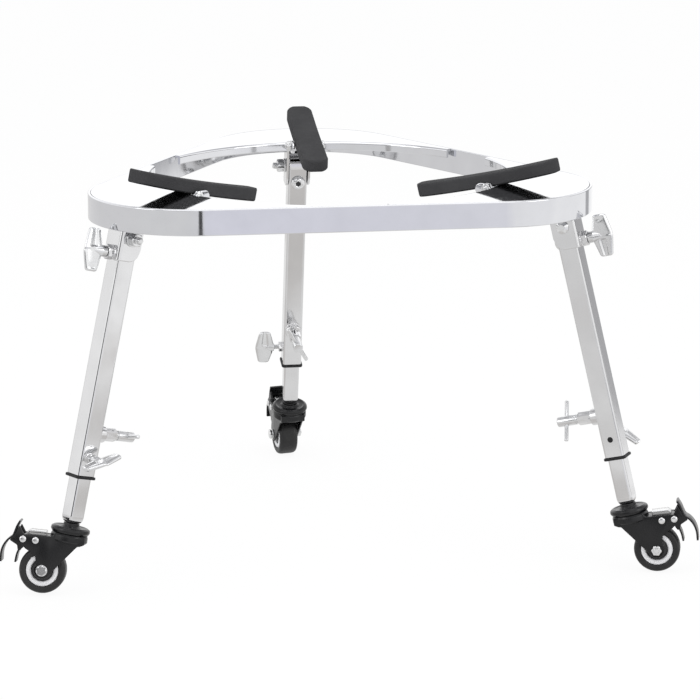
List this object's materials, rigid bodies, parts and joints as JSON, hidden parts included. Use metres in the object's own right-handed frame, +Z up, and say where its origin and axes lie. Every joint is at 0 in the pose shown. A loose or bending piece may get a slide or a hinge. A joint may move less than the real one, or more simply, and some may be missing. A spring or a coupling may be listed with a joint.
{
  "type": "conga stand",
  "caption": "Rolling drum stand: chromed rounded-triangle ring with tilting rubber pads on folding, telescoping legs with braked swivel casters.",
  "frame": {"origin": "on the floor, at the middle of the stand's overall box", "axes": "+Z up along the ring's axis; +Y towards the back leg, which stands at azimuth 90 degrees; the other legs at 210 and 330 degrees"},
  "size_m": [0.7594, 0.6378, 0.4467],
  "materials": {
    "axle_bolt_back": "zinc plated steel",
    "axle_bolt_left": "zinc plated steel",
    "axle_bolt_right": "zinc plated steel",
    "barrel_screw_back": "zinc plated steel",
    "barrel_screw_left": "zinc plated steel",
    "barrel_screw_right": "zinc plated steel",
    "brake_lever_back": "black coated pressed steel",
    "brake_lever_left": "black coated pressed steel",
    "brake_lever_right": "black coated pressed steel",
    "brake_spring_back": "zinc plated spring steel",
    "brake_spring_left": "zinc plated spring steel",
    "brake_spring_right": "zinc plated spring steel",
    "caster_fork_back": "black coated pressed steel",
    "caster_fork_left": "black coated pressed steel",
    "caster_fork_right": "black coated pressed steel",
    "caster_stem_back": "black coated pressed steel",
    "caster_stem_left": "black coated pressed steel",
    "caster_stem_right": "black coated pressed steel",
    "clamp_screw_back": "bright plated casting",
    "clamp_screw_left": "bright plated casting",
    "clamp_screw_right": "bright plated casting",
    "corner_plate_back": "polished chrome plate",
    "corner_plate_left": "polished chrome plate",
    "corner_plate_right": "polished chrome plate",
    "end_collar_back": "black moulded plastic",
    "end_collar_left": "black moulded plastic",
    "end_collar_right": "black moulded plastic",
    "height_screw_back": "bright plated steel",
    "height_screw_left": "bright plated steel",
    "height_screw_right": "bright plated steel",
    "inner_tube_back": "polished chrome plate",
    "inner_tube_left": "polished chrome plate",
    "inner_tube_right": "polished chrome plate",
    "leg_bracket_back": "polished chrome plate",
    "leg_bracket_left": "polished chrome plate",
    "leg_bracket_right": "polished chrome plate",
    "outer_tube_back": "polished chrome plate",
    "outer_tube_left": "polished chrome plate",
    "outer_tube_right": "polished chrome plate",
    "pad_hinge_back": "zinc plated steel",
    "pad_hinge_left": "zinc plated steel",
    "pad_hinge_right": "zinc plated steel",
    "pad_rubber_back": "moulded soft rubber",
    "pad_rubber_left": "moulded soft rubber",
    "pad_rubber_right": "moulded soft rubber",
    "pivot_bolt_back": "bright plated steel",
    "pivot_bolt_left": "bright plated steel",
    "pivot_bolt_right": "bright plated steel",
    "ring_band": "polished chrome plate",
    "tyre_back": "solid rubber tread",
    "tyre_left": "solid rubber tread",
    "tyre_right": "solid rubber tread",
    "wheel_hub_back": "moulded plastic",
    "wheel_hub_left": "moulded plastic",
    "wheel_hub_right": "moulded plastic",
    "wing_screw_back": "bright plated casting",
    "wing_screw_left": "bright plated casting",
    "wing_screw_right": "bright plated casting"
  },
  "bodies": {
    "ring_frame": {"ring_band": "ring_band", "corner_plate_back": "corner_plate_back", "leg_bracket_back": "leg_bracket_back", "pivot_bolt_back": "pivot_bolt_back", "corner_plate_left": "corner_plate_left", "leg_bracket_left": "leg_bracket_left", "pivot_bolt_left": "pivot_bolt_left", "corner_plate_right": "corner_plate_right", "leg_bracket_right": "leg_bracket_right", "pivot_bolt_right": "pivot_bolt_right"},
    "leg_back": {"outer_tube_back": "outer_tube_back", "end_collar_back": "end_collar_back", "barrel_screw_back": "barrel_screw_back"},
    "clamp_back": {"clamp_screw_back": "clamp_screw_back"},
    "height_lock_back": {"height_screw_back": "height_screw_back"},
    "wing_lock_back": {"wing_screw_back": "wing_screw_back"},
    "lower_leg_back": {"inner_tube_back": "inner_tube_back", "caster_stem_back": "caster_stem_back"},
    "caster_back": {"caster_fork_back": "caster_fork_back", "brake_spring_back": "brake_spring_back", "axle_bolt_back": "axle_bolt_back"},
    "brake_back": {"brake_lever_back": "brake_lever_back"},
    "wheel_back": {"tyre_back": "tyre_back", "wheel_hub_back": "wheel_hub_back"},
    "pad_back": {"pad_rubber_back": "pad_rubber_back", "pad_hinge_back": "pad_hinge_back"},
    "leg_left": {"outer_tube_left": "outer_tube_left", "end_collar_left": "end_collar_left", "barrel_screw_left": "barrel_screw_left"},
    "clamp_left": {"clamp_screw_left": "clamp_screw_left"},
    "height_lock_left": {"height_screw_left": "height_screw_left"},
    "wing_lock_left": {"wing_screw_left": "wing_screw_left"},
    "lower_leg_left": {"inner_tube_left": "inner_tube_left", "caster_stem_left": "caster_stem_left"},
    "caster_left": {"caster_fork_left": "caster_fork_left", "brake_spring_left": "brake_spring_left", "axle_bolt_left": "axle_bolt_left"},
    "brake_left": {"brake_lever_left": "brake_lever_left"},
    "wheel_left": {"tyre_left": "tyre_left", "wheel_hub_left": "wheel_hub_left"},
    "pad_left": {"pad_rubber_left": "pad_rubber_left", "pad_hinge_left": "pad_hinge_left"},
    "leg_right": {"outer_tube_right": "outer_tube_right", "end_collar_right": "end_collar_right", "barrel_screw_right": "barrel_screw_right"},
    "clamp_right": {"clamp_screw_right": "clamp_screw_right"},
    "height_lock_right": {"height_screw_right": "height_screw_right"},
    "wing_lock_right": {"wing_screw_right": "wing_screw_right"},
    "lower_leg_right": {"inner_tube_right": "inner_tube_right", "caster_stem_right": "caster_stem_right"},
    "caster_right": {"caster_fork_right": "caster_fork_right", "brake_spring_right": "brake_spring_right", "axle_bolt_right": "axle_bolt_right"},
    "brake_right": {"brake_lever_right": "brake_lever_right"},
    "wheel_right": {"tyre_right": "tyre_right", "wheel_hub_right": "wheel_hub_right"},
    "pad_right": {"pad_rubber_right": "pad_rubber_right", "pad_hinge_right": "pad_hinge_right"}
  },
  "joints": [
    {"name": "leg_fold_back", "type": "hinge", "parent": "ring_frame", "child": "leg_back", "pos_m": [0.00004, 0.1654, 0.37493], "axis": [-1, 0, 0], "range_deg": [0, 80]},
    {"name": "clamp_turn_back", "type": "hinge", "parent": "ring_frame", "child": "clamp_back", "pos_m": [0.00004, 0.16957, 0.35794], "axis": [0, 0.9711, 0.2385], "range_deg": [-90, 90]},
    {"name": "height_lock_turn_back", "type": "hinge", "parent": "leg_back", "child": "height_lock_back", "pos_m": [0.00004, 0.21573, 0.17002], "axis": [0, -0.9711, -0.2385], "range_deg": [-90, 90]},
    {"name": "wing_lock_turn_back", "type": "hinge", "parent": "leg_back", "child": "wing_lock_back", "pos_m": [0.00004, 0.22193, 0.14477], "axis": [-1, 0, 0], "range_deg": [-90, 90]},
    {"name": "leg_extend_back", "type": "slide", "parent": "leg_back", "child": "lower_leg_back", "axis": [0, 0.2385, -0.9711], "range_m": [-0.04, 0.1]},
    {"name": "caster_swivel_back", "type": "hinge", "parent": "lower_leg_back", "child": "caster_back", "pos_m": [0.00004, 0.23941, 0.07358], "axis": [0, -0.2385, 0.9711], "continuous": true},
    {"name": "brake_press_back", "type": "hinge", "parent": "caster_back", "child": "brake_back", "pos_m": [-0.00565, 0.29051, 0.05987], "axis": [-0.9925, -0.1184, -0.0291], "range_deg": [0, 8]},
    {"name": "wheel_spin_back", "type": "hinge", "parent": "caster_back", "child": "wheel_back", "pos_m": [-0.00252, 0.27278, 0.02514], "axis": [-0.9925, -0.1184, -0.0291], "continuous": true},
    {"name": "pad_tilt_back", "type": "hinge", "parent": "ring_frame", "child": "pad_back", "pos_m": [0.00004, 0.0814, 0.41273], "axis": [1, 0, 0], "range_deg": [0, 40]},
    {"name": "leg_fold_left", "type": "hinge", "parent": "ring_frame", "child": "leg_left", "pos_m": [-0.23768, -0.24635, 0.37493], "axis": [0.5, -0.866, 0], "range_deg": [0, 40]},
    {"name": "clamp_turn_left", "type": "hinge", "parent": "ring_frame", "child": "clamp_left", "pos_m": [-0.2413, -0.24844, 0.35794], "axis": [-0.841, -0.4856, 0.2385], "range_deg": [-90, 90]},
    {"name": "height_lock_turn_left", "type": "hinge", "parent": "leg_left", "child": "height_lock_left", "pos_m": [-0.28127, -0.27152, 0.17002], "axis": [0.841, 0.4856, -0.2385], "range_deg": [-90, 90]},
    {"name": "wing_lock_turn_left", "type": "hinge", "parent": "leg_left", "child": "wing_lock_left", "pos_m": [-0.28664, -0.27462, 0.14477], "axis": [0.5, -0.866, 0], "range_deg": [-90, 90]},
    {"name": "leg_extend_left", "type": "slide", "parent": "leg_left", "child": "lower_leg_left", "axis": [-0.2066, -0.1193, -0.9711], "range_m": [-0.04, 0.1]},
    {"name": "caster_swivel_left", "type": "hinge", "parent": "lower_leg_left", "child": "caster_left", "pos_m": [-0.30139, -0.28314, 0.07543], "axis": [0.2066, 0.1193, 0.9711], "continuous": true},
    {"name": "brake_press_left", "type": "hinge", "parent": "caster_left", "child": "brake_left", "pos_m": [-0.35162, -0.27676, 0.05907], "axis": [-0.1744, -0.9722, 0.1565], "range_deg": [0, 8]},
    {"name": "wheel_spin_left", "type": "hinge", "parent": "caster_left", "child": "wheel_left", "pos_m": [-0.33297, -0.28546, 0.02579], "axis": [-0.1744, -0.9722, 0.1565], "continuous": true},
    {"name": "pad_tilt_left", "type": "hinge", "parent": "ring_frame", "child": "pad_left", "pos_m": [-0.16494, -0.20435, 0.41273], "axis": [-0.5, 0.866, 0], "range_deg": [0, 40]},
    {"name": "leg_fold_right", "type": "hinge", "parent": "ring_frame", "child": "leg_right", "pos_m": [0.23777, -0.24635, 0.37493], "axis": [0.5, 0.866, 0], "range_deg": [0, 60]},
    {"name": "clamp_turn_right", "type": "hinge", "parent": "ring_frame", "child": "clamp_right", "pos_m": [0.24138, -0.24844, 0.35794], "axis": [0.841, -0.4856, 0.2385], "range_deg": [-90, 90]},
    {"name": "height_lock_turn_right", "type": "hinge", "parent": "leg_right", "child": "height_lock_right", "pos_m": [0.28135, -0.27152, 0.17002], "axis": [-0.841, 0.4856, -0.2385], "range_deg": [-90, 90]},
    {"name": "wing_lock_turn_right", "type": "hinge", "parent": "leg_right", "child": "wing_lock_right", "pos_m": [0.28672, -0.27462, 0.14477], "axis": [0.5, 0.866, 0], "range_deg": [-90, 90]},
    {"name": "leg_extend_right", "type": "slide", "parent": "leg_right", "child": "lower_leg_right", "axis": [0.2066, -0.1193, -0.9711], "range_m": [-0.04, 0.1]},
    {"name": "caster_swivel_right", "type": "hinge", "parent": "lower_leg_right", "child": "caster_right", "pos_m": [0.30179, -0.28332, 0.07392], "axis": [-0.2066, 0.1193, 0.9711], "continuous": true},
    {"name": "brake_press_right", "type": "hinge", "parent": "caster_right", "child": "brake_right", "pos_m": [0.35104, -0.2978, 0.05992], "axis": [0.2653, 0.9622, -0.0617], "range_deg": [0, 8]},
    {"name": "wheel_spin_right", "type": "hinge", "parent": "caster_right", "child": "wheel_right", "pos_m": [0.33293, -0.29502, 0.02534], "axis": [0.2653, 0.9622, -0.0617], "continuous": true},
    {"name": "pad_tilt_right", "type": "hinge", "parent": "ring_frame", "child": "pad_right", "pos_m": [0.16502, -0.20435, 0.41273], "axis": [-0.5, -0.866, 0], "range_deg": [0, 40]}
  ]
}
